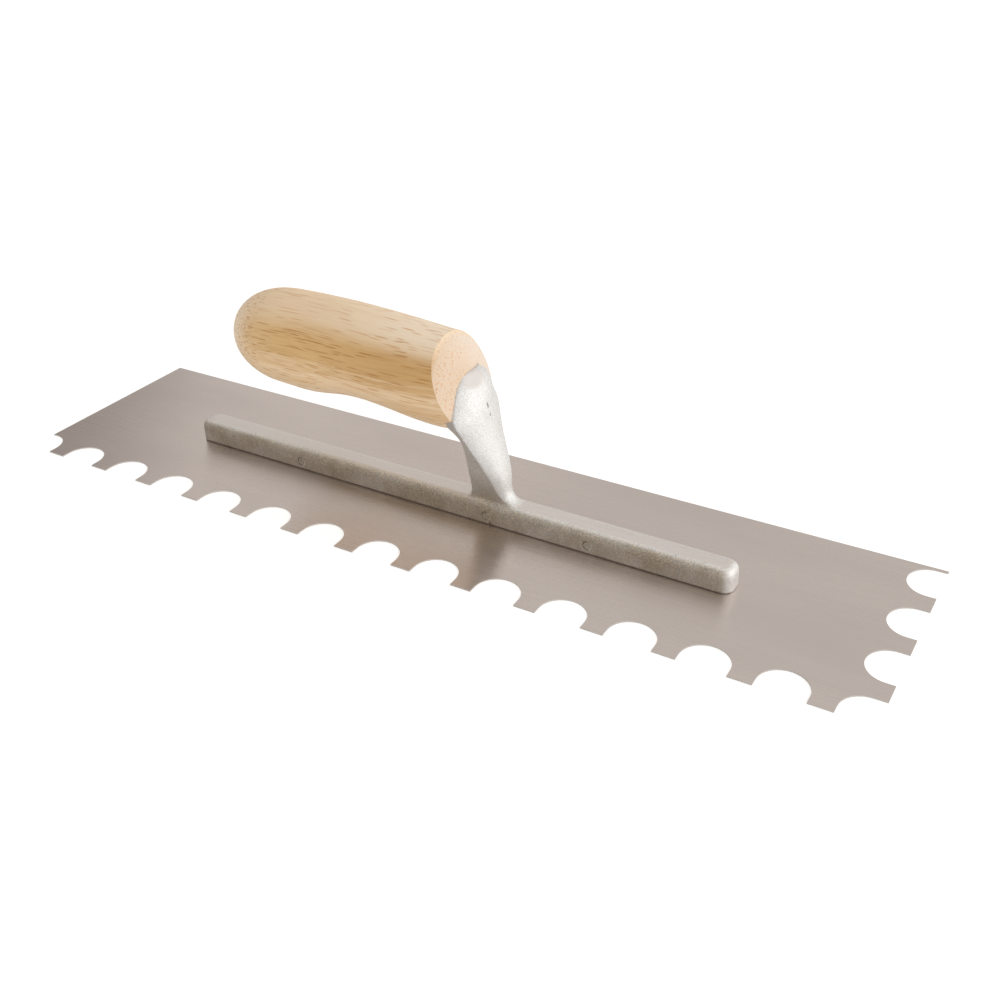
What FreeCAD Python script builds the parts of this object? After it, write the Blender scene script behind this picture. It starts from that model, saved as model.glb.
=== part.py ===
"""Notched trowel: sheet steel blade, die-cast aluminium mounting, turned and sanded wooden handle.

Frame: origin at the centre of the blade's underside, +X along the blade towards its notched end,
notched long edge at -Y, +Z up.  All sizes are millimetres.
"""
import FreeCAD, Part
import math
import os

import Sketcher

VECTOR = FreeCAD.Vector
START, END, CENTRE = 1, 2, 3          # point positions on a sketch curve
ORIGIN_POINT = (-1, 1)                # the sketch's own origin
X_AXIS = -1                           # the sketch's horizontal axis

doc = FreeCAD.newDocument("notched_trowel")

# ---------------------------------------------------------------- driving dimensions
DIMENSIONS = {
    # blade: 16 in x 4 in sheet, 3/4 in notches 3/8 in apart, U-shaped
    "blade_length": 406.4,
    "blade_width": 100.0,
    "blade_thickness": 0.6,
    "notch_radius": 9.62,
    "notch_depth": 13.3,
    "tooth_width": 9.28,
    "notch_pitch": "=2 * notch_radius + tooth_width",
    "long_edge_notches": 15,
    "long_edge_first": 2.25,          # left end of the blade to the first notch's centre
    "short_edge_notches": 3,
    "short_edge_first": 32.25,        # front edge of the blade to the first full notch's centre
    "corner_reach": 4.4,              # the corner itself is cut away by notches of both edges
    "corner_depth": 13.35,
    "cut_overrun": 3.0,
    # bar of the mounting, riveted along the blade's middle
    "bar_left": 134.5,
    "bar_right": 135.2,
    "bar_width": 12.2,
    "bar_height": 10.48,
    "bar_end_radius": 4.6,
    "bar_shoulder_radius": 3.6,
    "bar_flat_depth": 0.1,            # taken off the top when it is linished flat
    "bar_base": "=blade_thickness",
    # flat sanded off the head's top, sloping forward: two points of its slope
    "facet_front": 24.9,
    "facet_front_height": 59.2,
    "facet_back": 16.6,
    "facet_back_height": 66.3,
    "facet_turn": 14.0,               # degrees; the near side is sanded deeper than the far side
    "facet_overrun": 10.0,
    # flush rivets that hold the blade to the bar
    "rivet_radius": 2.4,
    "rivet_height": 7.0,
    "rivet_count": 8,
    "rivet_first": -118.0,
    "rivet_pitch": 34.3,
    # marks that the ejector pins leave on the bar's near side
    "ejector_radius": 2.0,
    "ejector_depth": 0.15,
    "ejector_height": 4.6,
    # handle: round-ended, slightly waisted, its nose sanded to a shallow dome
    "handle_flatness": 0.955,         # width over height of every cross-section
    "handle_tip": -101.4,
    "handle_belly": -70.0,
    "nose_x": 5.0,
    "nose_reach": 19.9,
    "nose_half_width": 40.4,
    "nose_half_height": 82.9,
    "form_overrun": 20.0,             # how far the forms that shape the handle pass its ends
    "form_reach": 110.0,              # and its sides
    "seat_x": 15.0,                   # flat face of the mounting that the handle pulls up to
    # tang, bolt and washer, all on one axis that drops towards the nose
    "bolt_tip_height": 64.4,
    "bolt_drop": 7.0,
    "bolt_run": 120.0,
    "tang_radius": 6.5,
    "tang_length": 24.0,
    "bolt_radius": 3.175,
    "bolt_thread_depth": 30.0,
    "bolt_clearance": 0.4,
    "head_radius": 6.2,
    "head_height": 3.6,
    "slot_width": 1.6,
    "slot_depth": 1.8,
    "washer_radius": 7.6,
    "washer_thickness": 1.4,
    "counterbore_radius": 8.0,
    "counterbore_depth": 9.0,
}

# Cross-sections of the handle from its belly to its nose: place, centre height, half height.
HANDLE_STATIONS = [
    (-70.0, 64.1, 20.95),
    (-56.0, 64.0, 21.15),
    (-42.0, 64.8, 20.25),
    (-28.0, 64.6, 19.85),
    (-14.0, 63.4, 20.1),
    (0.0, 62.0, 20.3),
    (12.0, 61.6, 20.0),
    (30.0, 61.4, 20.0),
]
HANDLE_END_ANGLES = [18, 32, 46, 60, 75]     # degrees round the rear end's quarter oval
HANDLE_END_FULLNESS = 0.9                    # 1 makes that oval an ellipse, less makes it fuller

# Horizontal sections of the shank and head, bottom to top: height, ridge place, ridge half
# width, bulge of the front face past the ridges, rear corner place, rear corner half width,
# shift to the far side.
SHANK_SECTIONS = {
    "root": (7.0, 37.2, 3.4, 5.2, 17.4, 3.4, 0.0),
    "toe": (10.9, 36.0, 3.5, 5.0, 17.6, 3.5, 0.0),
    "instep": (12.2, 34.0, 3.8, 4.2, 18.2, 3.7, 0.0),
    "ankle": (14.2, 32.5, 4.3, 3.8, 18.6, 3.9, 0.0),
    "shin": (20.0, 30.9, 6.3, 4.3, 18.5, 4.7, 0.0),
    "calf": (30.0, 27.7, 9.7, 5.1, 18.1, 6.5, 0.0),
    "knee": (38.0, 24.4, 12.4, 5.7, 17.4, 8.2, 0.0),
    "throat": (42.0, 22.9, 13.8, 5.9, 15.6, 9.6, 0.0),
    "lip": (45.5, 21.8, 15.1, 6.0, 13.6, 11.6, 0.0),
    "cup": (51.0, 19.6, 16.3, 6.9, 14.2, 15.4, 0.2),
    "brow": (55.5, 18.7, 14.4, 6.6, 12.0, 13.6, 0.6),
    "crown": (60.5, 18.0, 12.4, 5.4, 12.0, 11.8, 1.7),
    "peak": (64.2, 17.3, 9.2, 3.6, 12.0, 8.6, 2.5),
    "tip": (66.3, 16.8, 6.6, 1.8, 12.0, 6.2, 2.7),
}
EJECTOR_PLACES = [-72.4, 26.6, 74.2]

sheet = doc.addObject("Spreadsheet::Sheet", "dims")
next_row = 1


def put(alias, value):
    """One named cell of the sheet: a plain number or a formula, as text."""
    global next_row
    sheet.set(f"A{next_row}", alias)
    sheet.set(f"B{next_row}", str(value))
    sheet.setAlias(f"B{next_row}", alias)
    next_row += 1


for alias, value in DIMENSIONS.items():
    put(alias, value)
SECTION_COLUMNS = ("height", "ridge_x", "ridge_half", "bulge", "rear_x", "rear_half", "aside")
for section, row in SHANK_SECTIONS.items():
    for column, value in zip(SECTION_COLUMNS, row):
        put(f"{section}_{column}", value)
for index, (place, height, half) in enumerate(HANDLE_STATIONS):
    put(f"station{index}_place", place)
    put(f"station{index}_height", height)
    put(f"station{index}_half", half)
doc.recompute()


def size(alias):
    return float(sheet.get(alias))


def bind(obj, **expressions):
    """Bind properties to the sheet; a double underscore in a keyword stands for a dot."""
    for prop, expression in expressions.items():
        words = expression
        for alias in sorted(ALIASES, key=len, reverse=True):
            words = words.replace(f"[{alias}]", f"dims.{alias}")
        obj.setExpression(prop.replace("__", "."), words)


ALIASES = [sheet.getAlias(f"B{row}") for row in range(1, next_row)]


# ---------------------------------------------------------------- sketch helpers
def origin_feature(body, role):
    return next(item for item in body.Origin.OriginFeatures if item.Role == role)


def new_body(name):
    return doc.addObject("PartDesign::Body", name)


def new_sketch(body, name, role, lift=None):
    """A sketch on one of the body's own origin planes, lifted off it by an expression."""
    sketch = body.newObject("Sketcher::SketchObject", name)
    sketch.AttachmentSupport = (origin_feature(body, role), [""])
    sketch.MapMode = "FlatFace"
    if lift:
        bind(sketch, AttachmentOffset__Base__z=lift)
    return sketch


def constrain(sketch, kind, *where, expression=None, name=None):
    """Add a constraint; a dimension also gets a name and its expression from the sheet."""
    index = sketch.addConstraint(Sketcher.Constraint(kind, *where))
    if expression:
        sketch.renameConstraint(index, name)
        bind(sketch, **{f"Constraints__{name}": expression})
    return index


def closed_outline(sketch, points):
    """A closed chain of lines through the points."""
    count = len(points)
    for here, there in zip(points, points[1:] + points[:1]):
        sketch.addGeometry(Part.LineSegment(VECTOR(*here, 0), VECTOR(*there, 0)))
    for line in range(count):
        constrain(sketch, "Coincident", line, END, (line + 1) % count, START)
    return count


def pad(body, sketch, name, length):
    feature = body.newObject("PartDesign::Pad", name)
    feature.Profile = sketch
    bind(feature, Length=length)
    return feature


# ---------------------------------------------------------------- blade
def notch_sketch(body, name, cx, cy, outward):
    """A U-shaped notch profile; (cx, cy) is the centre of its round end."""
    sketch = new_sketch(body, name, "XY_Plane")
    radius = size("notch_radius")
    low_x, high_x = cx - radius, cx + radius
    low_y, high_y = cy - radius, cy + radius
    if outward == "-Y":
        corners = [(low_x, cy), (low_x, low_y), (high_x, low_y), (high_x, cy)]
        start, stop = 0.0, math.pi
    else:
        corners = [(cx, low_y), (high_x, low_y), (high_x, high_y), (cx, high_y)]
        start, stop = math.pi / 2, 3 * math.pi / 2
    for here, there in zip(corners, corners[1:]):
        sketch.addGeometry(Part.LineSegment(VECTOR(*here, 0), VECTOR(*there, 0)))
    circle = Part.Circle(VECTOR(cx, cy, 0), VECTOR(0, 0, 1), radius)
    sketch.addGeometry(Part.ArcOfCircle(circle, start, stop))
    constrain(sketch, "Coincident", 0, END, 1, START)
    constrain(sketch, "Coincident", 1, END, 2, START)
    constrain(sketch, "Tangent", 2, END, 3, START)
    constrain(sketch, "Tangent", 3, END, 0, START)
    constrain(sketch, "Horizontal" if outward == "-Y" else "Vertical", 1)
    constrain(sketch, "Vertical" if outward == "-Y" else "Horizontal", 0)
    constrain(sketch, "Radius", 3, radius, expression="[notch_radius]", name="round_end")
    return sketch


def make_blade():
    body = new_body("blade_body")
    body.Label = "blade"
    half_length, half_width = size("blade_length") / 2, size("blade_width") / 2
    sketch = new_sketch(body, "blade_outline", "XY_Plane")
    closed_outline(sketch, [(-half_length, -half_width), (half_length, -half_width),
                            (half_length, half_width), (-half_length, half_width)])
    for line, kind in enumerate(("Horizontal", "Vertical", "Horizontal", "Vertical")):
        constrain(sketch, kind, line)
    constrain(sketch, "Symmetric", 0, START, 2, START, *ORIGIN_POINT)
    constrain(sketch, "DistanceX", 0, START, 0, END, 2 * half_length,
              expression="[blade_length]", name="along")
    constrain(sketch, "DistanceY", 1, START, 1, END, 2 * half_width,
              expression="[blade_width]", name="across")
    pad(body, sketch, "blade_sheet", "[blade_thickness]")

    radius, depth = size("notch_radius"), size("notch_depth")
    long_notch = notch_sketch(body, "long_notch", -half_length + size("long_edge_first"),
                              -half_width + depth - radius, "-Y")
    constrain(long_notch, "DistanceX", 3, CENTRE, *ORIGIN_POINT, half_length - size("long_edge_first"),
              expression="[blade_length] / 2 - [long_edge_first]", name="place")
    constrain(long_notch, "DistanceY", 3, CENTRE, *ORIGIN_POINT, half_width - depth + radius,
              expression="[blade_width] / 2 - [notch_depth] + [notch_radius]", name="reach")
    constrain(long_notch, "DistanceY", 1, START, *ORIGIN_POINT, half_width + size("cut_overrun"),
              expression="[blade_width] / 2 + [cut_overrun]", name="mouth")
    short_notch = notch_sketch(body, "short_notch", half_length - depth + radius,
                               -half_width + size("short_edge_first"), "+X")
    constrain(short_notch, "DistanceX", *ORIGIN_POINT, 3, CENTRE, half_length - depth + radius,
              expression="[blade_length] / 2 - [notch_depth] + [notch_radius]", name="reach")
    constrain(short_notch, "DistanceY", 3, CENTRE, *ORIGIN_POINT, half_width - size("short_edge_first"),
              expression="[blade_width] / 2 - [short_edge_first]", name="place")
    constrain(short_notch, "DistanceX", *ORIGIN_POINT, 1, START, half_length + size("cut_overrun"),
              expression="[blade_length] / 2 + [cut_overrun]", name="mouth")
    corner = new_sketch(body, "corner_notch", "XY_Plane")
    inner, outer = half_length - size("corner_reach"), half_length + size("cut_overrun")
    front, rear = -half_width - size("cut_overrun"), -half_width + size("corner_depth")
    closed_outline(corner, [(inner, front), (outer, front), (outer, rear), (inner, rear)])
    for line, kind in enumerate(("Horizontal", "Vertical", "Horizontal", "Vertical")):
        constrain(corner, kind, line)
    constrain(corner, "DistanceX", *ORIGIN_POINT, 0, START, inner,
              expression="[blade_length] / 2 - [corner_reach]", name="inner")
    constrain(corner, "DistanceX", *ORIGIN_POINT, 0, END, outer,
              expression="[blade_length] / 2 + [cut_overrun]", name="outer")
    constrain(corner, "DistanceY", 0, START, *ORIGIN_POINT, -front,
              expression="[blade_width] / 2 + [cut_overrun]", name="front")
    constrain(corner, "DistanceY", 2, START, *ORIGIN_POINT, -rear,
              expression="[blade_width] / 2 - [corner_depth]", name="rear")
    for sketch, axis, count in ((long_notch, "X_Axis", "long_edge_notches"),
                                (short_notch, "Y_Axis", "short_edge_notches"),
                                (corner, None, None)):
        cut = body.newObject("PartDesign::Pocket", sketch.Name + "_cut")
        cut.Profile = sketch
        cut.Type = "ThroughAll"
        cut.Midplane = True
        doc.recompute()
        if not axis:
            continue
        pattern = body.newObject("PartDesign::LinearPattern", sketch.Name + "_row")
        pattern.Originals = [cut]
        pattern.Direction = (origin_feature(body, axis), [""])
        bind(pattern, Length=f"[notch_pitch] * ([{count}] - 1)", Occurrences=f"[{count}]")
        body.Tip = pattern
        doc.recompute()
    return body


# ---------------------------------------------------------------- mounting
def shank_sketch(body, section):
    """One horizontal section: an arc across the front, two straight sides and a flat rear."""
    ridge_x, ridge_half, bulge, rear_x, rear_half = SHANK_SECTIONS[section][1:6]
    radius = (ridge_half ** 2 + bulge ** 2) / (2 * bulge)
    centre_x = ridge_x + bulge - radius
    reach = math.atan2(ridge_half, ridge_x - centre_x)
    sketch = new_sketch(body, f"{section}_section", "XY_Plane", lift=f"[{section}_height]")
    bind(sketch, AttachmentOffset__Base__y=f"[{section}_aside]")
    circle = Part.Circle(VECTOR(centre_x, 0, 0), VECTOR(0, 0, 1), radius)
    sketch.addGeometry(Part.ArcOfCircle(circle, -reach, reach))
    corners = [(ridge_x, ridge_half), (rear_x, rear_half), (rear_x, -rear_half), (ridge_x, -ridge_half)]
    for here, there in zip(corners, corners[1:]):
        sketch.addGeometry(Part.LineSegment(VECTOR(*here, 0), VECTOR(*there, 0)))
    for curve in range(4):
        constrain(sketch, "Coincident", curve, END, (curve + 1) % 4, START)
    constrain(sketch, "PointOnObject", 0, CENTRE, X_AXIS)
    constrain(sketch, "Symmetric", 2, START, 2, END, X_AXIS)
    for curve, corner, x, y in ((1, "ridge", ridge_x, ridge_half), (2, "rear", rear_x, rear_half)):
        constrain(sketch, "DistanceX", *ORIGIN_POINT, curve, START, x,
                  expression=f"[{section}_{corner}_x]", name=f"{corner}_x")
        constrain(sketch, "DistanceY", *ORIGIN_POINT, curve, START, y,
                  expression=f"[{section}_{corner}_half]", name=f"{corner}_half")
    half, rise = f"[{section}_ridge_half]", f"[{section}_bulge]"
    constrain(sketch, "Radius", 0, radius, name="front",
              expression=f"({half} ^ 2 + {rise} ^ 2) / (2 * {rise})")
    return sketch


def make_casting():
    body = new_body("casting_body")
    left, right, half = -size("bar_left"), size("bar_right"), size("bar_width") / 2
    outline = new_sketch(body, "bar_outline", "XY_Plane", lift="[bar_base]")
    closed_outline(outline, [(left, -half), (right, -half), (right, half), (left, half)])
    for line, kind in ((0, "Horizontal"), (2, "Horizontal"), (3, "Vertical")):
        constrain(outline, kind, line)
    constrain(outline, "Symmetric", 1, START, 1, END, X_AXIS)
    constrain(outline, "DistanceX", 0, START, *ORIGIN_POINT, -left, expression="[bar_left]", name="left")
    constrain(outline, "DistanceX", *ORIGIN_POINT, 0, END, right, expression="[bar_right]", name="right")
    constrain(outline, "DistanceY", 1, START, 1, END, 2 * half, expression="[bar_width]", name="width")
    block = pad(body, outline, "bar_block", "[bar_height]")
    doc.recompute()

    def edges_of(feature, wanted):
        return [f"Edge{i}" for i, edge in enumerate(feature.Shape.Edges, 1) if wanted(edge)]

    def upright(edge):
        a, b = edge.Vertexes[0].Point, edge.Vertexes[-1].Point
        return abs(a.x - b.x) < 1e-6 and abs(a.y - b.y) < 1e-6

    ends = body.newObject("PartDesign::Fillet", "bar_ends")
    ends.Base = (block, edges_of(block, upright))
    bind(ends, Radius="[bar_end_radius]")
    doc.recompute()
    top = size("bar_base") + size("bar_height")
    shoulders = body.newObject("PartDesign::Fillet", "bar_shoulders")
    shoulders.Base = (ends, edges_of(ends, lambda e: all(abs(v.Point.z - top) < 1e-6 for v in e.Vertexes)))
    bind(shoulders, Radius="[bar_shoulder_radius]")
    doc.recompute()

    skim = new_sketch(body, "skim_outline", "XY_Plane", lift="[bar_base] + [bar_height] - [bar_flat_depth]")
    closed_outline(skim, [(left, -half), (right, -half), (right, half), (left, half)])
    linish = body.newObject("PartDesign::Pocket", "bar_flat")
    linish.Profile = skim
    linish.Reversed = True
    linish.Type = "ThroughAll"
    doc.recompute()

    sections = [shank_sketch(body, section) for section in SHANK_SECTIONS]
    doc.recompute()
    shank = body.newObject("PartDesign::AdditiveLoft", "shank")
    shank.Profile = sections[0]
    shank.Sections = sections[1:]
    shank.Ruled = False
    shank.Closed = False
    doc.recompute()

    front = VECTOR(size("facet_front"), size("facet_front_height"), 0)
    back = VECTOR(size("facet_back"), size("facet_back_height"), 0)
    slope = (back.y - front.y) / (back.x - front.x)
    past = size("facet_overrun")
    low = (front.x + past, front.y + past * slope)
    high = (back.x - past, back.y - past * slope)
    facet = new_sketch(body, "facet_outline", "XZ_Plane")
    turned = FreeCAD.Rotation(VECTOR(0, 1, 0), -size("facet_turn"))
    facet.AttachmentOffset = FreeCAD.Placement(VECTOR(0, 0, 0), turned)
    closed_outline(facet, [low, (low[0], high[1]), high])
    constrain(facet, "Vertical", 0)
    constrain(facet, "Horizontal", 1)
    fall = "([facet_back_height] - [facet_front_height]) / ([facet_front] - [facet_back])"
    for where, axis, value, name, expression in (
            (0, "DistanceX", low[0], "low_x", "[facet_front] + [facet_overrun]"),
            (0, "DistanceY", low[1], "low_z", f"[facet_front_height] - [facet_overrun] * {fall}"),
            (2, "DistanceX", high[0], "high_x", "[facet_back] - [facet_overrun]"),
            (2, "DistanceY", high[1], "high_z", f"[facet_back_height] + [facet_overrun] * {fall}")):
        constrain(facet, axis, *ORIGIN_POINT, where, START, value, expression=expression, name=name)
    sanded = body.newObject("PartDesign::Pocket", "sanded_facet")
    sanded.Profile = facet
    sanded.Type = "ThroughAll"
    sanded.Midplane = True
    doc.recompute()
    body.Tip = sanded
    return body


# ---------------------------------------------------------------- plain solids
def solid(kind, name, placement=None, **expressions):
    feature = doc.addObject(kind, name)
    if placement:
        feature.Placement = placement
    bind(feature, **expressions)
    return feature


def boolean(kind, name, *operands):
    """Part::Cut and Part::Common take a base and a tool, Part::MultiFuse takes any number."""
    feature = doc.addObject(kind, name)
    if kind == "Part::MultiFuse":
        feature.Shapes = list(operands)
    else:
        feature.Base, feature.Tool = operands
    doc.recompute()
    return feature


def bolt_frame(distance):
    """Placement whose +Z runs along the bolt's axis, at a distance from the handle's tip."""
    run, drop = size("bolt_run"), size("bolt_drop")
    axis = VECTOR(run, 0, -drop).normalize()
    start = VECTOR(size("handle_tip"), 0, size("bolt_tip_height"))
    return FreeCAD.Placement(start + axis * distance, FreeCAD.Rotation(VECTOR(0, 0, 1), axis))


def seat_distance():
    """Distance along the bolt's axis from the handle's tip to the seat face."""
    run, drop = size("bolt_run"), size("bolt_drop")
    return (size("seat_x") - size("handle_tip")) * math.hypot(run, drop) / run


# ---------------------------------------------------------------- handle
def handle_section(name, place, height, half):
    """An upright elliptical section, taller than wide, square to the X axis."""
    section = doc.addObject("Part::Ellipse", name)
    upright_axis = FreeCAD.Rotation(VECTOR(0, 0, 1), VECTOR(0, 1, 0), VECTOR(1, 0, 0), "ZYX")
    section.Placement = FreeCAD.Placement(VECTOR(0, 0, 0), upright_axis)
    bind(section, MajorRadius=half, MinorRadius=f"({half}) * [handle_flatness]",
         Placement__Base__x=place, Placement__Base__z=height)
    return section


def make_handle_blank():
    """The whole turned form, longer at the nose than the finished handle."""
    sections = []
    for angle in HANDLE_END_ANGLES:
        turn = math.radians(angle)
        along = math.cos(turn) ** HANDLE_END_FULLNESS
        across = math.sin(turn) ** HANDLE_END_FULLNESS
        sections.append(handle_section(
            f"end_{angle}",
            f"[handle_belly] - ([handle_belly] - [handle_tip]) * {along:.5f}",
            "[station0_height]",
            f"[station0_half] * {across:.5f}"))
    for index in range(len(HANDLE_STATIONS)):
        sections.append(handle_section(f"station_{index}", f"[station{index}_place]",
                                       f"[station{index}_height]", f"[station{index}_half]"))
    doc.recompute()
    blank = doc.addObject("Part::Loft", "handle_blank")
    blank.Sections = sections
    blank.Solid = True
    blank.Ruled = False
    doc.recompute()
    return blank


def make_nose_form():
    """What the sanded nose stays inside: a flat ellipsoid in front, everything behind it."""
    dome = solid("Part::Ellipsoid", "nose_dome", Radius1="[nose_half_height]",
                 Radius2="[nose_reach]", Radius3="[nose_half_width]", Placement__Base__x="[nose_x]")
    behind = solid("Part::Box", "behind_nose", Length="[nose_x] - [handle_tip] + [form_overrun]",
                   Width="2 * [form_reach]", Height="2 * [form_reach]",
                   Placement__Base__x="[handle_tip] - [form_overrun]",
                   Placement__Base__y="-[form_reach]", Placement__Base__z="-[form_reach]")
    doc.recompute()
    return boolean("Part::MultiFuse", "nose_form", dome, behind)


blade = make_blade()
casting = make_casting()
blank = make_handle_blank()

# what the mounting makes room for: the handle behind the seat face
behind_seat = solid("Part::Box", "behind_seat", Length="[seat_x] - [handle_tip] + [form_overrun]",
                    Width="2 * [form_reach]", Height="2 * [form_reach]",
                    Placement__Base__x="[handle_tip] - [form_overrun]",
                    Placement__Base__y="-[form_reach]", Placement__Base__z="[shin_height]")
doc.recompute()
seated_form = boolean("Part::Common", "seated_form", blank, behind_seat)
shell = boolean("Part::Cut", "casting_seated", casting, seated_form)
tang = solid("Part::Cylinder", "tang", bolt_frame(seat_distance() - size("tang_length")),
             Radius="[tang_radius]", Height="[tang_length] + 4")
doc.recompute()
with_tang = boolean("Part::MultiFuse", "casting_with_tang", shell, tang)
tapping = solid("Part::Cylinder", "tapped_hole", bolt_frame(seat_distance() - size("tang_length") - 1),
                Radius="[bolt_radius]", Height="[bolt_thread_depth] + 1")
rivets = []
for index in range(int(size("rivet_count"))):
    rivets.append(solid("Part::Cylinder", f"rivet_{index + 1}",
                        Radius="[rivet_radius]", Height="[rivet_height]",
                        Placement__Base__x=f"[rivet_first] + {index} * [rivet_pitch]"))
doc.recompute()
rivet_set = boolean("Part::MultiFuse", "blade_rivets_solids", *rivets)
rivet_set.Label = "blade_rivets"
marks = []
for index, place in enumerate(EJECTOR_PLACES, 1):
    towards_near_side = FreeCAD.Placement(VECTOR(place, 0, 0), FreeCAD.Rotation(VECTOR(1, 0, 0), 90))
    marks.append(solid("Part::Cylinder", f"ejector_mark_{index}", towards_near_side,
                       Radius="[ejector_radius]", Height="[ejector_radius]",
                       Placement__Base__y="-[bar_width] / 2 + [ejector_depth]",
                       Placement__Base__z="[ejector_height]"))
doc.recompute()
holes = boolean("Part::MultiFuse", "mounting_holes", rivet_set, tapping, *marks)
mounting = boolean("Part::Cut", "mounting_finished", with_tang, holes)
mounting.Label = "mounting"
blade_finished = boolean("Part::Cut", "blade_finished", blade, rivet_set)
blade.Label = "blade_blank"
blade_finished.Label = "blade"

nose_form = make_nose_form()
shaped = boolean("Part::Common", "handle_shaped", blank, nose_form)
bolt_hole = solid("Part::Cylinder", "bolt_hole", bolt_frame(0), Radius="[bolt_radius] + [bolt_clearance]",
                  Height="[bolt_run] - 10")
counterbore = solid("Part::Cylinder", "counterbore", bolt_frame(-10), Radius="[counterbore_radius]",
                    Height="[counterbore_depth] + 10")
doc.recompute()
bored = boolean("Part::MultiFuse", "handle_bores", bolt_hole, counterbore)
handle_bored = boolean("Part::Cut", "handle_bored", shaped, bored)
handle = boolean("Part::Cut", "handle_finished", handle_bored, with_tang)
handle.Label = "handle"

head_seat = size("counterbore_depth") - size("washer_thickness")
washer_disc = solid("Part::Cylinder", "washer_disc", bolt_frame(head_seat),
                    Radius="[washer_radius]", Height="[washer_thickness]")
washer_hole = solid("Part::Cylinder", "washer_hole", bolt_frame(0),
                    Radius="[bolt_radius]", Height="[counterbore_depth] + 1")
doc.recompute()
washer = boolean("Part::Cut", "washer", washer_disc, washer_hole)
washer.Label = "handle_washer"

bolt_shank = solid("Part::Cylinder", "bolt_shank", bolt_frame(head_seat), Radius="[bolt_radius]",
                   Height=f"{seat_distance() - head_seat:.4f} - [tang_length] + [bolt_thread_depth] - 2")
bolt_head = solid("Part::Cylinder", "bolt_head", bolt_frame(head_seat - size("head_height")),
                  Radius="[head_radius]", Height="[head_height]")
doc.recompute()
bolt_blank = boolean("Part::MultiFuse", "bolt_blank", bolt_shank, bolt_head)
slot_frame = bolt_frame(head_seat - size("head_height") - 1)
slot = doc.addObject("Part::Box", "driver_slot")
bind(slot, Length="2 * [head_radius] + 2", Width="[slot_width]", Height="[slot_depth] + 1")
slot.Placement = slot_frame * FreeCAD.Placement(
    VECTOR(-size("head_radius") - 1, -size("slot_width") / 2, 0), FreeCAD.Rotation())
doc.recompute()
bolt = boolean("Part::Cut", "bolt", bolt_blank, slot)
bolt.Label = "handle_bolt"

doc.recompute()
for obj in doc.Objects:
    if "Invalid" in obj.State or "Error" in obj.State:
        raise RuntimeError(f"{obj.Name} failed: {obj.State}")
os.makedirs("parts", exist_ok=True)
for part in (blade_finished, mounting, rivet_set, handle, bolt, washer):
    shape = part.Shape
    if shape.isNull() or not shape.isValid():
        raise RuntimeError(f"{part.Label} has no valid shape")
    print(f"{part.Label}: {len(shape.Solids)} solids, {shape.Volume:.0f} mm3")
    shape.exportStep(f"parts/{part.Label}.step")
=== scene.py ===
"""Notched trowel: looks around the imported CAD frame.  Metres, +X along the blade, +Z up."""
import math

import bpy
import numpy as np
from mathutils import Matrix, Vector


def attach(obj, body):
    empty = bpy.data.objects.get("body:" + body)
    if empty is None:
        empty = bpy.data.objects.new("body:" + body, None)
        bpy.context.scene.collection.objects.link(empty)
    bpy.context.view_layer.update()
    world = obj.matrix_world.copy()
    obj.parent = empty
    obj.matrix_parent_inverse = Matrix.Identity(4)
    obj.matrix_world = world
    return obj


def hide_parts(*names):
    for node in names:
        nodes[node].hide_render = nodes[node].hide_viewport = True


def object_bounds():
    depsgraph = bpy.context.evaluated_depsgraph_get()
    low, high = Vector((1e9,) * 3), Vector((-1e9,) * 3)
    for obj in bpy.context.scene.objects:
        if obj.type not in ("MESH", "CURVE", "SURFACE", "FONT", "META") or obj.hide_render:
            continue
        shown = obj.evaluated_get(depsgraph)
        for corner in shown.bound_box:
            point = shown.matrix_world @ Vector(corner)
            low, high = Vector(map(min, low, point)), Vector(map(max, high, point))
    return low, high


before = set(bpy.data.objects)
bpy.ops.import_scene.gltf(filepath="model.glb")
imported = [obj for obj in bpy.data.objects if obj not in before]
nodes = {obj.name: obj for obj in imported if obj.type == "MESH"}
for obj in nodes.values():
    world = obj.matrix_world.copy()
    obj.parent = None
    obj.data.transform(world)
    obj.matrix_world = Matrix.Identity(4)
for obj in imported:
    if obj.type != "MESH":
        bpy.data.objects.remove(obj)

cad_low, cad_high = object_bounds()
MM = 0.001


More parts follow.
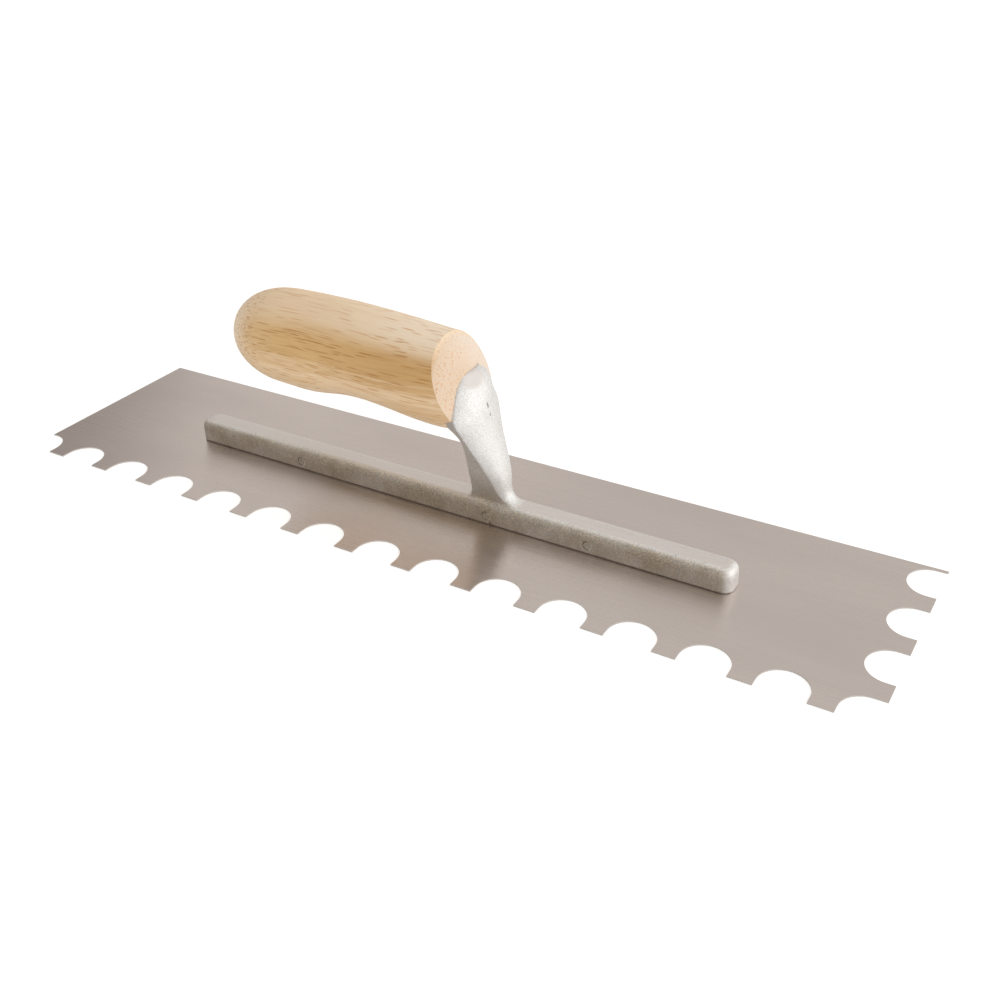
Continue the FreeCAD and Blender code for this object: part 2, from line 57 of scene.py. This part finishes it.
# ---------------------------------------------------------------- node helpers
class Nodes:
    """Short calls that add and link shader nodes in one tree."""

    def __init__(self, tree):
        self.tree = tree
        tree.nodes.clear()
        self.coordinates = self.add("TexCoord").outputs

    def add(self, kind):
        return self.tree.nodes.new("ShaderNode" + kind)

    def link(self, source, target):
        self.tree.links.new(source, target)

    def feed(self, socket, value):
        """A node output is linked, anything else is the socket's own value."""
        if isinstance(value, bpy.types.NodeSocket):
            self.link(value, socket)
        else:
            socket.default_value = value

    def math(self, kind, a, b=0.0, c=0.0):
        node = self.add("Math")
        node.operation = kind
        for socket, value in zip(node.inputs, (a, b, c)):
            self.feed(socket, value)
        return node.outputs[0]

    def times(self, first, *others):
        """The product of numbers and node outputs."""
        for value in others:
            first = self.math("MULTIPLY", first, value)
        return first

    def scaled(self, value, factor, offset):
        return self.math("MULTIPLY_ADD", value, factor, offset)

    def largest(self, values):
        whole = values[0]
        for value in values[1:]:
            whole = self.math("MAXIMUM", whole, value)
        return whole

    def vector(self, kind, a, b=(0.0, 0.0, 0.0), c=(0.0, 0.0, 0.0)):
        node = self.add("VectorMath")
        node.operation = kind
        for socket, value in zip(node.inputs, (a, b, c)):
            self.feed(socket, value)
        return node.outputs["Value" if kind in ("LENGTH", "DOT_PRODUCT") else "Vector"]

    def split(self, vector):
        node = self.add("SeparateXYZ")
        self.link(vector, node.inputs[0])
        return node.outputs

    def band(self, value, low, high, to_low=0.0, to_high=1.0):
        """Smooth step of a value between two levels."""
        node = self.add("MapRange")
        node.interpolation_type = "SMOOTHSTEP"
        for name, number in (("From Min", low), ("From Max", high), ("To Min", to_low), ("To Max", to_high)):
            node.inputs[name].default_value = number
        self.feed(node.inputs["Value"], value)
        return node.outputs["Result"]

    def below(self, value, low, high):
        """Smooth mask: 1 up to low, 0 from high."""
        return self.band(value, low, high, 1.0, 0.0)

    def mix(self, share, a, b):
        """Colour a, with a share of colour b."""
        node = self.add("Mix")
        node.data_type = "RGBA"
        self.feed(node.inputs[0], share)
        for socket, value in ((node.inputs[6], a), (node.inputs[7], b)):
            self.feed(socket, value if isinstance(value, bpy.types.NodeSocket) else (*value, 1.0))
        return node.outputs[2]


class Surface(Nodes):
    """A material: its nodes, its shader, and the patterns that it is made from."""

    def __init__(self, name):
        self.material = bpy.data.materials.new(name)
        self.material.use_nodes = True
        super().__init__(self.material.node_tree)
        self.shader = self.add("BsdfPrincipled")
        self.link(self.shader.outputs["BSDF"], self.add("OutputMaterial").inputs["Surface"])
        self.place = self.coordinates["Object"]
        self.normal = self.add("NewGeometry").outputs["Normal"]
        self.here = self.split(self.place)
        self.facing = self.split(self.normal)

    def set(self, **values):
        for name, value in values.items():
            self.feed(self.shader.inputs[name.replace("_", " ")], value)

    def stretch(self, scale, shift=(0, 0, 0), vector=None):
        """Coordinates multiplied by scale, in 1/m, so that one unit is one cell of a pattern."""
        return self.vector("MULTIPLY_ADD", vector or self.place, scale, shift)

    def noise(self, vector, detail=2.0, rough=0.5, colour=False):
        node = self.add("TexNoise")
        node.inputs["Scale"].default_value = 1.0
        node.inputs["Detail"].default_value = detail
        node.inputs["Roughness"].default_value = rough
        self.link(vector, node.inputs["Vector"])
        return node.outputs["Color" if colour else "Fac"]

    def cells(self, vector):
        """Voronoi cells: (distance to the nearest seed, the cell's three random numbers)."""
        node = self.add("TexVoronoi")
        node.inputs["Scale"].default_value = 1.0
        self.link(vector, node.inputs["Vector"])
        return node.outputs["Distance"], self.split(node.outputs["Color"])

    def bump(self, height, distance, under=None):
        """A normal from a height in 0..1 that stands for the given distance in metres."""
        node = self.add("Bump")
        node.inputs["Distance"].default_value = distance
        self.link(height, node.inputs["Height"])
        if under:
            self.link(under, node.inputs["Normal"])
        return node.outputs["Normal"]

    def across_brushing(self):
        """The direction across the brush lines, which run along X."""
        node = self.add("CombineXYZ")
        node.inputs["Y"].default_value = 1.0
        return node.outputs[0]


# ---------------------------------------------------------------- fine meshes
CAST_VOXEL = 0.45 * MM
RELAX_STEP = 0.6            # how far a point moves to its neighbours' mean in one round
NORMALS_EVERY = 6           # rounds between new normals


def remeshed(node, name, voxel):
    """A new piece with a CAD node's shape on an even, fine mesh."""
    piece = bpy.data.objects.new(name, nodes[node].data.copy())
    bpy.context.scene.collection.objects.link(piece)
    even = piece.modifiers.new("even", "REMESH")
    even.mode = "VOXEL"
    even.voxel_size = voxel
    mesh = bpy.data.meshes.new_from_object(piece.evaluated_get(bpy.context.evaluated_depsgraph_get()))
    piece.modifiers.clear()
    piece.data = mesh
    mesh.name = name
    mesh.shade_smooth()
    return piece


def points_of(mesh):
    points = np.empty(len(mesh.vertices) * 3)
    mesh.vertices.foreach_get("co", points)
    return points.reshape(-1, 3)


def put_points(mesh, points):
    mesh.vertices.foreach_set("co", points.ravel())
    mesh.update()


def normals_at(mesh, points):
    put_points(mesh, points)
    normals = np.empty(len(points) * 3)
    mesh.vertex_normals.foreach_get("vector", normals)
    return normals.reshape(-1, 3)


def relax(mesh, points, rounds, weight, fill_only=False):
    """Moves points towards their neighbours' mean; fill_only fills hollow corners and wears nothing off."""
    pairs = np.empty(len(mesh.edges) * 2, dtype=int)
    mesh.edges.foreach_get("vertices", pairs)
    a, b = pairs[0::2], pairs[1::2]
    count = len(points)
    degree = np.bincount(a, minlength=count) + np.bincount(b, minlength=count)
    for turn in range(rounds):
        if fill_only and turn % NORMALS_EVERY == 0:
            normals = normals_at(mesh, points)
        total = np.stack([np.bincount(a, points[b, k], count) + np.bincount(b, points[a, k], count)
                          for k in range(3)], axis=1)
        step = total / degree[:, None] - points
        if fill_only:
            step = normals * np.maximum((step * normals).sum(axis=1), 0.0)[:, None]
        points += RELAX_STEP * weight[:, None] * step
    return points


def ramp(values, low, high):
    """0 below low, 1 above high, smooth between."""
    t = np.clip((values - low) / (high - low), 0.0, 1.0)
    return t * t * (3 - 2 * t)


def make_casting():
    """The mounting with the soft corners of a casting: filled at the shank's foot, broken at every edge."""
    piece = remeshed("mounting", "mounting_casting", CAST_VOXEL)
    mesh = piece.data
    points = points_of(mesh)
    # weights by place, in mm: the shank's foot, most of all at its toe, the head, and the bar's ends
    x, z = points[:, 0] / MM, points[:, 2] / MM
    foot = ramp(x, 10, 14) * ramp(-x, -52, -46) * ramp(z, 3.5, 6.0) * ramp(-z, -24, -17)
    toe = ramp(x, 24, 34)
    everywhere = np.ones(len(points))
    head = ramp(z, 58, 65)
    bar_ends = ramp(np.abs(x), 126, 130) * ramp(z, 1, 4)
    points = relax(mesh, points, 80, foot * (0.45 + 0.55 * toe), fill_only=True)
    for rounds, weight in ((2, everywhere), (8, head), (16, bar_ends)):
        points = relax(mesh, points, rounds, weight)
    put_points(mesh, points)
    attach(piece, "root")
    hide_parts("mounting")
    return piece


casting = make_casting()


# ---------------------------------------------------------------- steel sheet
STAIN = (0.45, 0.38, 0.3)
SHEARED_EDGE = (0.62, 0.575, 0.54)
HAIR_DEPTH = 0.0035 * MM


def brushed_steel(name, tint=(0.665, 0.592, 0.55), roughness=0.27):
    """Sheet brushed along X: hair-fine lines, and reflections drawn out across them."""
    g = Surface(name)
    hair = g.noise(g.stretch((15, 11000, 900)), detail=2, rough=0.7)
    line = g.noise(g.stretch((22, 4200, 900), shift=(3.1, 0.4, 0)), detail=2, rough=0.6)
    scratch, tone = g.cells(g.stretch((24, 1500, 20), shift=(0.3, 0.1, 0)))
    cloud = g.noise(g.stretch((9, 26, 14), shift=(0.7, 1.9, 0)), detail=3)
    stain = g.noise(g.stretch((45, 60, 45), shift=(2.7, 0.2, 0)), detail=4, rough=0.65)
    streak = g.scaled(line, 0.5, g.times(hair, 0.5))

    def shade(factor):
        return tuple(c * factor for c in tint)

    colour = g.mix(g.band(streak, 0.34, 0.66), shade(0.95), shade(1.05))
    bright_scratch = g.times(g.below(scratch, 0.0, 0.09), g.band(tone[0], 0.6, 0.95), 0.2)
    colour = g.mix(bright_scratch, colour, shade(1.15))
    colour = g.mix(g.band(cloud, 0.35, 0.7, 0.0, 0.4), colour, shade(0.91))
    colour = g.mix(g.band(stain, 0.62, 0.8, 0.0, 0.12), colour, STAIN)
    finish = g.band(streak, 0.3, 0.7, roughness - 0.04, roughness + 0.05)
    finish = g.scaled(g.band(cloud, 0.3, 0.7), 0.05, finish)

    # the sheet's cut edges are matt and pale
    sheared = g.below(g.math("ABSOLUTE", g.facing[2]), 0.3, 0.9)
    g.set(Base_Color=g.mix(sheared, colour, SHEARED_EDGE), Metallic=g.scaled(sheared, -0.75, 1.0),
          Anisotropic=0.85, Tangent=g.across_brushing(), Roughness=g.scaled(sheared, 0.3, finish),
          Normal=g.bump(streak, HAIR_DEPTH))
    return g.material


# ---------------------------------------------------------------- cast aluminium
# ejector-pin marks on the bar's near side: place along X, height, in mm
EJECTOR_MARKS = ((-72.4, 4.6), (26.6, 4.6), (74.2, 4.6))
EJECTOR_RADIUS = 1.9
# pits along the parting line on the shank's front, and a nick at the bar's foot: centre, radii, in mm
CASTING_PITS = (((26.3, 0.0, 53.8), (1.5, 0.45, 1.5)), ((26.8, 0.0, 49.8), (1.5, 0.35, 0.75)),
                ((28.5, -6.1, 1.4), (0.7, 0.6, 1.1)))
# direction that the sanded facet on the head faces
FACET_AIM = (0.66, -0.12, 0.74)

CAST_DARK, CAST_LIGHT = (0.65, 0.63, 0.605), (0.90, 0.895, 0.885)
LINISHED_DARK, LINISHED_LIGHT = (0.67, 0.61, 0.57), (0.75, 0.695, 0.66)
# painted shade for the near side, and a painted shadow line where the bar meets the blade
NEAR_SHADE, GAP_SHADOW = (0.37, 0.305, 0.215), (0.07, 0.055, 0.04)
LIGHT_FLECK, DARK_FLECK = (0.93, 0.79, 0.60), (0.27, 0.215, 0.15)
# painted shade and painted highlight for the ejector marks' rims, and painted shade for the pits
RIM_SHADE, RIM_HIGHLIGHT, PIT_SHADE = (0.13, 0.11, 0.08), (0.98, 0.94, 0.85), (0.2, 0.16, 0.11)
CAST_GRAIN_DEPTH, MARK_DEPTH = 0.1 * MM, 0.5 * MM


def worked_faces(g):
    """Mask of what is ground after casting: the flat on the bar and the facet on the head."""
    flat = g.times(g.band(g.facing[2], 0.978, 0.992), g.band(g.here[2], 10.4 * MM, 10.8 * MM))
    aim = g.vector("DOT_PRODUCT", g.normal, FACET_AIM)
    facet = g.times(g.band(aim, 0.955, 0.985), g.band(g.here[2], 58 * MM, 59.5 * MM))
    return g.math("MAXIMUM", flat, facet)


def near_side(g, on_bar):
    """Mask of the long near side, where shade is painted; on the bar it fades out slowly round the ends."""
    past_ends = g.math("MAXIMUM", g.below(g.facing[0], 0.12, 0.34),
                       g.times(on_bar, g.below(g.facing[0], 0.1, 0.62)))
    return g.times(g.band(g.facing[1], -0.38, -0.86), past_ends)


def ejector_marks(g, flow):
    """Masks of the recesses, of the painted shade on their left rims and of the painted highlight on their
    right rims.
    """
    recesses, rim_shades, rim_highlights = [], [], []
    for place, height in EJECTOR_MARKS:
        off = g.vector("SUBTRACT", g.place, (place * MM, 0.0, height * MM))
        reach = g.vector("LENGTH", g.vector("MULTIPLY", off, (1.0, 0.0, 1.0)))
        from_rim = g.math("ABSOLUTE", g.math("SUBTRACT", reach, EJECTOR_RADIUS * MM))
        rim = g.below(from_rim, 0.08 * MM, 0.3 * MM)
        along = g.split(off)[0]
        recesses.append(g.below(reach, (EJECTOR_RADIUS - 0.2) * MM, (EJECTOR_RADIUS + 0.2) * MM))
        rim_shades.append(g.times(rim, g.below(along, -0.6 * MM, 1.4 * MM)))
        rim_highlights.append(g.times(rim, g.band(along, 0.2 * MM, 1.4 * MM)))
    on_side = g.below(g.here[1], -5.9 * MM, -5.6 * MM)
    rim_strength = g.times(on_side, g.band(flow, 0.35, 0.6, 0.7, 1.0))
    return (g.times(g.largest(recesses), on_side), g.times(g.largest(rim_shades), rim_strength),
            g.times(g.largest(rim_highlights), rim_strength))


def casting_pits(g, grit):
    """Mask of the pits, where shade is painted; the grain breaks up their edges."""
    pits = []
    for centre, radii in CASTING_PITS:
        off = g.vector("SUBTRACT", g.place, tuple(c * MM for c in centre))
        reach = g.vector("LENGTH", g.vector("DIVIDE", off, tuple(r * MM for r in radii)))
        pits.append(g.below(g.scaled(grit, 0.9, reach), 1.05, 1.4))
    return g.largest(pits)


def cast_aluminium(name):
    """Blasted casting: fine grain, a flat ground on the bar, a facet sanded on the head, painted shade low on
    its near side.
    """
    g = Surface(name)
    grit = g.noise(g.stretch((2300, 2300, 2300)), detail=2, rough=0.6)
    seeds, tone = g.cells(g.stretch((1900, 1900, 1900)))
    cloud = g.noise(g.stretch((70, 70, 70), shift=(1.3, 0, 0)), detail=4, rough=0.6)
    flow = g.noise(g.stretch((160, 420, 160), shift=(0, 2.2, 0)), detail=3)
    brushed = g.noise(g.stretch((60, 2600, 60)), detail=3, rough=0.7)
    fleck = g.noise(g.stretch((1900, 1900, 1900), shift=(0.3, 5.1, 0)), detail=2, rough=0.6)

    worked = worked_faces(g)
    bar = g.below(g.here[2], 11.5 * MM, 13.5 * MM)
    near = near_side(g, bar)

    colour = g.mix(g.band(grit, 0.3, 0.7), CAST_DARK, CAST_LIGHT)
    for pattern, low, high, share, tint in (
            (cloud, 0.4, 0.75, 0.1, (0.64, 0.605, 0.55)),
            (flow, 0.45, 0.75, 0.12, (0.6, 0.565, 0.5)),
            (tone[0], 0.84, 0.96, 0.3, (0.95, 0.94, 0.92)),
            (tone[1], 0.88, 0.97, 0.16, (0.46, 0.43, 0.37))):
        colour = g.mix(g.band(pattern, low, high, 0.0, share), colour, tint)
    linished = g.mix(g.band(brushed, 0.3, 0.7), LINISHED_DARK, LINISHED_LIGHT)
    colour = g.mix(g.times(worked, 0.75), colour, linished)

    # painted shade low on the near side, and a painted shadow line where the bar meets the blade
    near_shade = g.times(near, g.below(g.here[2], 12 * MM, 28 * MM), g.band(cloud, 0.25, 0.75, 0.4, 0.82))
    colour = g.mix(near_shade, colour, NEAR_SHADE)
    colour = g.mix(g.times(near, g.band(g.here[2], 0.8 * MM, 1.4 * MM, 0.8, 0.0)), colour, GAP_SHADOW)

    # coarse flecks on the bar, fainter on its flat and its ends
    coarse = g.times(bar, g.scaled(worked, -0.7, 1.0), g.band(g.facing[0], 0.1, 0.62, 1.0, 0.25))
    light = g.times(g.band(fleck, 0.5, 0.66), g.band(g.here[2], 3.5 * MM, 9.5 * MM, 0.32, 0.72), coarse)
    colour = g.mix(light, colour, LIGHT_FLECK)
    colour = g.mix(g.times(g.band(fleck, 0.47, 0.36), 0.3, coarse), colour, DARK_FLECK)

    recesses, rim_shades, rim_highlights = ejector_marks(g, flow)
    pits = casting_pits(g, grit)
    # painted shade on each ejector mark's left rim and painted highlight on its right rim
    colour = g.mix(rim_shades, colour, RIM_SHADE)
    colour = g.mix(rim_highlights, colour, RIM_HIGHLIGHT)
    # painted shade in the pits
    colour = g.mix(g.times(pits, 0.85), colour, PIT_SHADE)

    height = g.times(g.scaled(grit, 0.6, g.times(seeds, 0.4)), g.scaled(worked, -0.7, 1.0))
    grain = g.bump(height, CAST_GRAIN_DEPTH)
    marks = g.bump(g.math("SUBTRACT", 1.0, g.math("MAXIMUM", recesses, pits)), MARK_DEPTH, under=grain)
    g.set(Base_Color=colour, Metallic=0.76, Normal=marks,
          Roughness=g.scaled(worked, -0.14, g.band(grit, 0.2, 0.8, 0.5, 0.6)))
    return g.material


# ---------------------------------------------------------------- wood
# the wood's pith, in mm, and its darker growth bands: distance from the pith, half width, share
PITH = (0.0, -65.5, -36.5)
GROWTH_BANDS = ((120.5, 12.5, 1.0), (103.5, 4.0, 0.45))
# pores of the wood: cells per metre along and across the grain, radius in cells, share left out, shift
PORE_LAYERS = ((34, 900, 0.25, 0.1, 0.0), (22, 700, 0.2, 0.25, 3.7), (62, 900, 0.26, 0.25, 7.9),
               (14, 600, 0.16, 0.4, 5.3))
PALE, OCHRE, DEEP = (0.86, 0.645, 0.415), (0.72, 0.47, 0.205), (0.57, 0.315, 0.12)
# the second colour is a painted highlight along the top; the third makes the rear end paler and paints light
# from below on the belly
PALE_STREAK, TOP_HIGHLIGHT, PALE_REAR_AND_LIT_BELLY = (0.90, 0.73, 0.53), (0.96, 0.845, 0.69), (0.96, 0.80, 0.62)
# end-grain colours of the nose, lightened with painted light, the far one more so
LIT_END_NEAR, LIT_END_FAR = (0.74, 0.58, 0.435), (0.79, 0.67, 0.56)
PORE_IN_PALE, PORE_IN_BAND = (0.66, 0.35, 0.14), (0.46, 0.215, 0.06)
DOT_AT_REAR, DOT_ON_NOSE = (0.62, 0.345, 0.14), (0.70, 0.34, 0.125)
PORE_DEPTH = 0.06 * MM


def growth_bands(g, bent, fibre, streak, round_end):
    """Mask of the darker growth bands: rings round the pith, with ragged edges, faint at the rear end."""
    off = g.vector("SUBTRACT", bent, tuple(c * MM for c in PITH))
    ring = g.vector("LENGTH", g.vector("MULTIPLY", off, (0.03, 1.0, 1.0)))
    ragged = g.scaled(streak, 12 * MM, g.scaled(fibre, 6 * MM, -9 * MM))
    ring = g.math("ADD", ring, ragged)
    bands = []
    for centre, half, share in GROWTH_BANDS:
        from_centre = g.math("ABSOLUTE", g.math("SUBTRACT", ring, centre * MM))
        bands.append(g.band(from_centre, 0.2 * half * MM, half * MM, share, 0.0))
    along = g.band(g.here[0], -100 * MM, -60 * MM, 0.35, 1.0)
    return g.times(g.largest(bands), g.scaled(round_end, -0.85, 1.0), along)


def pore_dashes(g, bent, nose):
    """Mask of the pores where they run along the surface."""
    patch = g.noise(g.stretch((14, 90, 90), shift=(1, 5, 2), vector=bent), detail=2)
    pores = []
    for along, across, radius, left_out, shift in PORE_LAYERS:
        place = g.stretch((along, across, across), shift=(shift, shift * 0.7, shift * 0.3), vector=bent)
        distance, tone = g.cells(place)
        pores.append(g.times(g.below(distance, radius * 0.6, radius * 1.15),
                             g.band(tone[0], left_out, left_out + 0.06), g.band(tone[1], 0.0, 0.9, 0.5, 1.0)))
    return g.times(g.largest(pores), g.band(patch, 0.32, 0.5, 0.5, 1.0), g.scaled(nose, -0.7, 1.0))


def pore_dots(g, nose, nose_far):
    """Mask of the pores cut across: on the sanded nose and on the round rear end."""
    distance, tone = g.cells(g.stretch((250, 950, 950), shift=(0.4, 0.2, 0.7)))
    on_nose = g.times(g.below(distance, 0.2, 0.34), g.band(tone[0], 0.1, 0.9, 0.3, 1.0),
                      g.scaled(nose_far, g.times(nose, -0.7), nose))
    distance, tone = g.cells(g.stretch((230, 880, 880), shift=(0.1, 0.6, 0.3)))
    at_rear = g.times(g.below(distance, 0.2, 0.37), g.band(tone[0], 0.1, 0.8, 0.1, 0.9),
                      g.band(g.facing[0], -0.08, -0.27))
    return g.math("MAXIMUM", on_nose, at_rear)


def pale_wood(name):
    """Grain and pores run along X: dashes on the sides, dots on both ends."""
    g = Surface(name)
    wander = g.noise(g.stretch((16, 24, 24)), detail=2, colour=True)
    bent = g.vector("MULTIPLY_ADD", wander, (0.0, 5 * MM, 5 * MM), g.place)
    fibre = g.noise(g.stretch((26, 1600, 1600), vector=bent), detail=3, rough=0.65)
    streak = g.noise(g.stretch((12, 420, 420), shift=(4, 0, 2), vector=bent), detail=3, rough=0.6)
    nose = g.band(g.facing[0], 0.6, 0.8)
    round_end = g.band(g.facing[0], -0.14, -0.6)
    bands = growth_bands(g, bent, fibre, streak, round_end)

    colour = g.mix(g.times(bands, 0.95), PALE, OCHRE)
    colour = g.mix(g.band(streak, 0.48, 0.75, 0.0, 0.45), colour, OCHRE)
    colour = g.mix(g.band(streak, 0.25, 0.45, 0.3, 0.0), colour, PALE_STREAK)
    colour = g.mix(g.times(g.band(fibre, 0.47, 0.68, 0.0, 0.5), g.math("ADD", bands, 0.35)), colour, DEEP)

    # the band is richer towards the front; the top has a painted highlight; the rear end is paler, and the
    # belly is paler with painted light from below
    colour = g.mix(g.times(bands, g.band(g.here[0], -70 * MM, 5 * MM, 0.0, 0.5)), colour, DEEP)
    top_highlight = g.times(g.band(g.facing[2], 0.5, 0.95), g.band(g.here[0], -60 * MM, 10 * MM, 0.1, 0.6))
    colour = g.mix(top_highlight, colour, TOP_HIGHLIGHT)
    # paler rear end, and painted light from below on the belly
    sanded = g.math("MAXIMUM", g.times(round_end, 0.8), g.band(g.facing[2], -0.35, -0.9, 0.0, 0.6))
    colour = g.mix(sanded, colour, PALE_REAR_AND_LIT_BELLY)

    # the sanded nose is end grain, its colour lightened with painted light; its far, upper part is paler with
    # more painted light, and has fewer dots
    nose_far = g.band(g.scaled(g.here[2], 0.6, g.here[1]), 36 * MM, 58 * MM)
    colour = g.mix(g.times(nose, 0.92), colour, g.mix(nose_far, LIT_END_NEAR, LIT_END_FAR))

    dashes, dots = pore_dashes(g, bent, nose), pore_dots(g, nose, nose_far)
    colour = g.mix(g.times(dashes, 0.9), colour, g.mix(bands, PORE_IN_PALE, PORE_IN_BAND))
    colour = g.mix(dots, colour, g.mix(nose, DOT_AT_REAR, DOT_ON_NOSE))
    height = g.math("SUBTRACT", g.times(fibre, 0.5), g.math("MAXIMUM", dashes, dots))
    g.set(Base_Color=colour, Roughness=g.band(fibre, 0.3, 0.8, 0.42, 0.54), Specular_IOR_Level=0.4,
          Normal=g.bump(height, PORE_DEPTH))
    return g.material


# ---------------------------------------------------------------- fasteners, and who wears what
def plated_steel(name):
    g = Surface(name)
    cloud = g.noise(g.stretch((700, 700, 700)), detail=3)
    colour = g.mix(g.band(cloud, 0.3, 0.7), (0.6, 0.59, 0.56), (0.74, 0.73, 0.7))
    g.set(Base_Color=colour, Metallic=1.0, Roughness=g.band(cloud, 0.3, 0.7, 0.28, 0.4),
          Normal=g.bump(cloud, 0.02 * MM))
    return g.material


def paint(piece, material):
    piece.data.materials.clear()
    piece.data.materials.append(material)


paint(nodes["blade"], brushed_steel("blade_brushed_steel"))
paint(nodes["blade_rivets"], brushed_steel("rivet_ground_steel", tint=(0.6, 0.58, 0.56)))
paint(casting, cast_aluminium("mounting_cast_aluminium"))
paint(nodes["handle"], pale_wood("handle_pale_wood"))
for name in ("handle_bolt", "handle_washer"):
    paint(nodes[name], plated_steel(name + "_zinc"))


# ---------------------------------------------------------------- floor and backdrop
SIDES = 96
FLOOR_RADII = (0.01, 0.5, 1.5, 4.0)
FLOOR_GAP = 0.02 * MM       # under the blade, so that the two never share a plane
COVE_RADIUS = 1.5
WALL_TOP = 6.0
FLOOR_WHITE = 0.93
FLOOR_GLOW = 0.36


def soft_white(name, level):
    g = Surface(name)
    cloud = g.noise(g.stretch((3, 3, 3)), detail=2)
    g.set(Base_Color=g.mix(cloud, (level,) * 3, (level * 0.99,) * 3), Roughness=0.9, Specular_IOR_Level=0.1,
          Emission_Color=(1.0, 1.0, 1.0, 1.0), Emission_Strength=FLOOR_GLOW)
    return g.material


def turned(name, rings, material, capped=False):
    """A staged surface of revolution about Z from (radius, height) pairs."""
    angles = [2 * math.pi * k / SIDES for k in range(SIDES)]
    vertices = [(r * math.cos(angle), r * math.sin(angle), z) for r, z in rings for angle in angles]
    around = [(k, (k + 1) % SIDES) for k in range(SIDES)]
    faces = [(start + a, start + b, start + SIDES + b, start + SIDES + a)
             for start in range(0, SIDES * (len(rings) - 1), SIDES) for a, b in around]
    if capped:
        faces.append(tuple(range(SIDES)))
    mesh = bpy.data.meshes.new(name)
    mesh.from_pydata(vertices, [], faces)
    mesh.shade_smooth()
    piece = bpy.data.objects.new(name, mesh)
    bpy.context.scene.collection.objects.link(piece)
    mesh.materials.append(material)
    return piece


floor_level = cad_low.z - FLOOR_GAP
white = soft_white("floor_white", FLOOR_WHITE)
floor = turned("floor", [(radius, floor_level) for radius in FLOOR_RADII], white, capped=True)
floor.visible_glossy = False
floor_edge = FLOOR_RADII[-1]
cove = [(floor_edge + COVE_RADIUS * math.sin(math.radians(t)),
         floor_level + COVE_RADIUS - COVE_RADIUS * math.cos(math.radians(t))) for t in range(10, 91, 10)]
wall = turned("backdrop", [(floor_edge, floor_level)] + cove + [(floor_edge + COVE_RADIUS, WALL_TOP)], white)
for ray in ("visible_glossy", "visible_diffuse", "visible_shadow", "visible_transmission"):
    setattr(wall, ray, False)


# ---------------------------------------------------------------- light
def studio_world():
    """A soft studio by direction: dark behind the camera, light at the back, brightest on the right."""
    world = bpy.data.worlds.new("studio")
    bpy.context.scene.world = world
    world.use_nodes = True
    g = Nodes(world.node_tree)
    x, y, z = g.split(g.coordinates["Generated"])
    right = g.band(g.scaled(y, -0.3, x), -0.15, 0.4)

    near, left, ceiling = (0.235, 0.193, 0.138), (0.37, 0.35, 0.335), (0.85, 0.84, 0.83)
    ground_near, ground_far = (0.18, 0.145, 0.10), (0.88, 0.87, 0.855)
    far = g.mix(g.band(x, -0.62, -0.25), (0.80, 0.775, 0.755), (0.72, 0.70, 0.68))
    bright = g.mix(g.band(y, -0.75, 0.15), (0.80, 0.785, 0.77), (1.48, 1.47, 1.465))
    sides = g.mix(g.band(y, -0.75, 0.25), near, far)
    sides = g.mix(g.band(x, -0.725, -0.665), left, sides)
    sides = g.mix(right, sides, bright)

    upper = g.mix(g.band(z, 0.5, 1.0), sides, ceiling)
    lower = g.mix(g.math("MAXIMUM", right, g.band(y, -0.3, 0.4)), ground_near, ground_far)
    background = g.add("Background")
    g.link(g.mix(g.band(z, -0.25, 0.05), lower, upper), background.inputs["Color"])
    g.link(background.outputs[0], g.add("OutputWorld").inputs["Surface"])


studio_world()

KEY_PLACE, KEY_AIM = Vector((1.4, 0.1, 0.3)), Vector((0, 0, 0.03))
KEY_WATTS = 2

key_data = bpy.data.lights.new("key_right", "AREA")
key_data.shape = "RECTANGLE"
key_data.size, key_data.size_y = 1.2, 0.5
key_data.energy = KEY_WATTS
key = bpy.data.objects.new("key_right", key_data)
bpy.context.scene.collection.objects.link(key)
key.location = KEY_PLACE
key.rotation_euler = (KEY_AIM - KEY_PLACE).to_track_quat("-Z", "Y").to_euler()

# ---------------------------------------------------------------- camera
CAMERA_PLACE = (0.2503, -0.3553, 0.2648)
CAMERA_RIGHT = Vector((0.8585, 0.512, -0.028))
CAMERA_DOWN = Vector((0.246, -0.4592, -0.8536))
CAMERA_AHEAD = Vector((-0.4499, 0.7259, -0.5202))

camera_data = bpy.data.cameras.new("camera")
camera_data.sensor_width = 36.0
camera_data.lens = 41.97
camera_data.clip_start = 0.01
camera = bpy.data.objects.new("camera", camera_data)
bpy.context.scene.collection.objects.link(camera)
turn = Matrix((CAMERA_RIGHT, -CAMERA_DOWN, -CAMERA_AHEAD)).transposed().to_4x4()
camera.matrix_world = Matrix.Translation(CAMERA_PLACE) @ turn
bpy.context.scene.camera = camera
bpy.context.scene.view_settings.view_transform = "Standard"
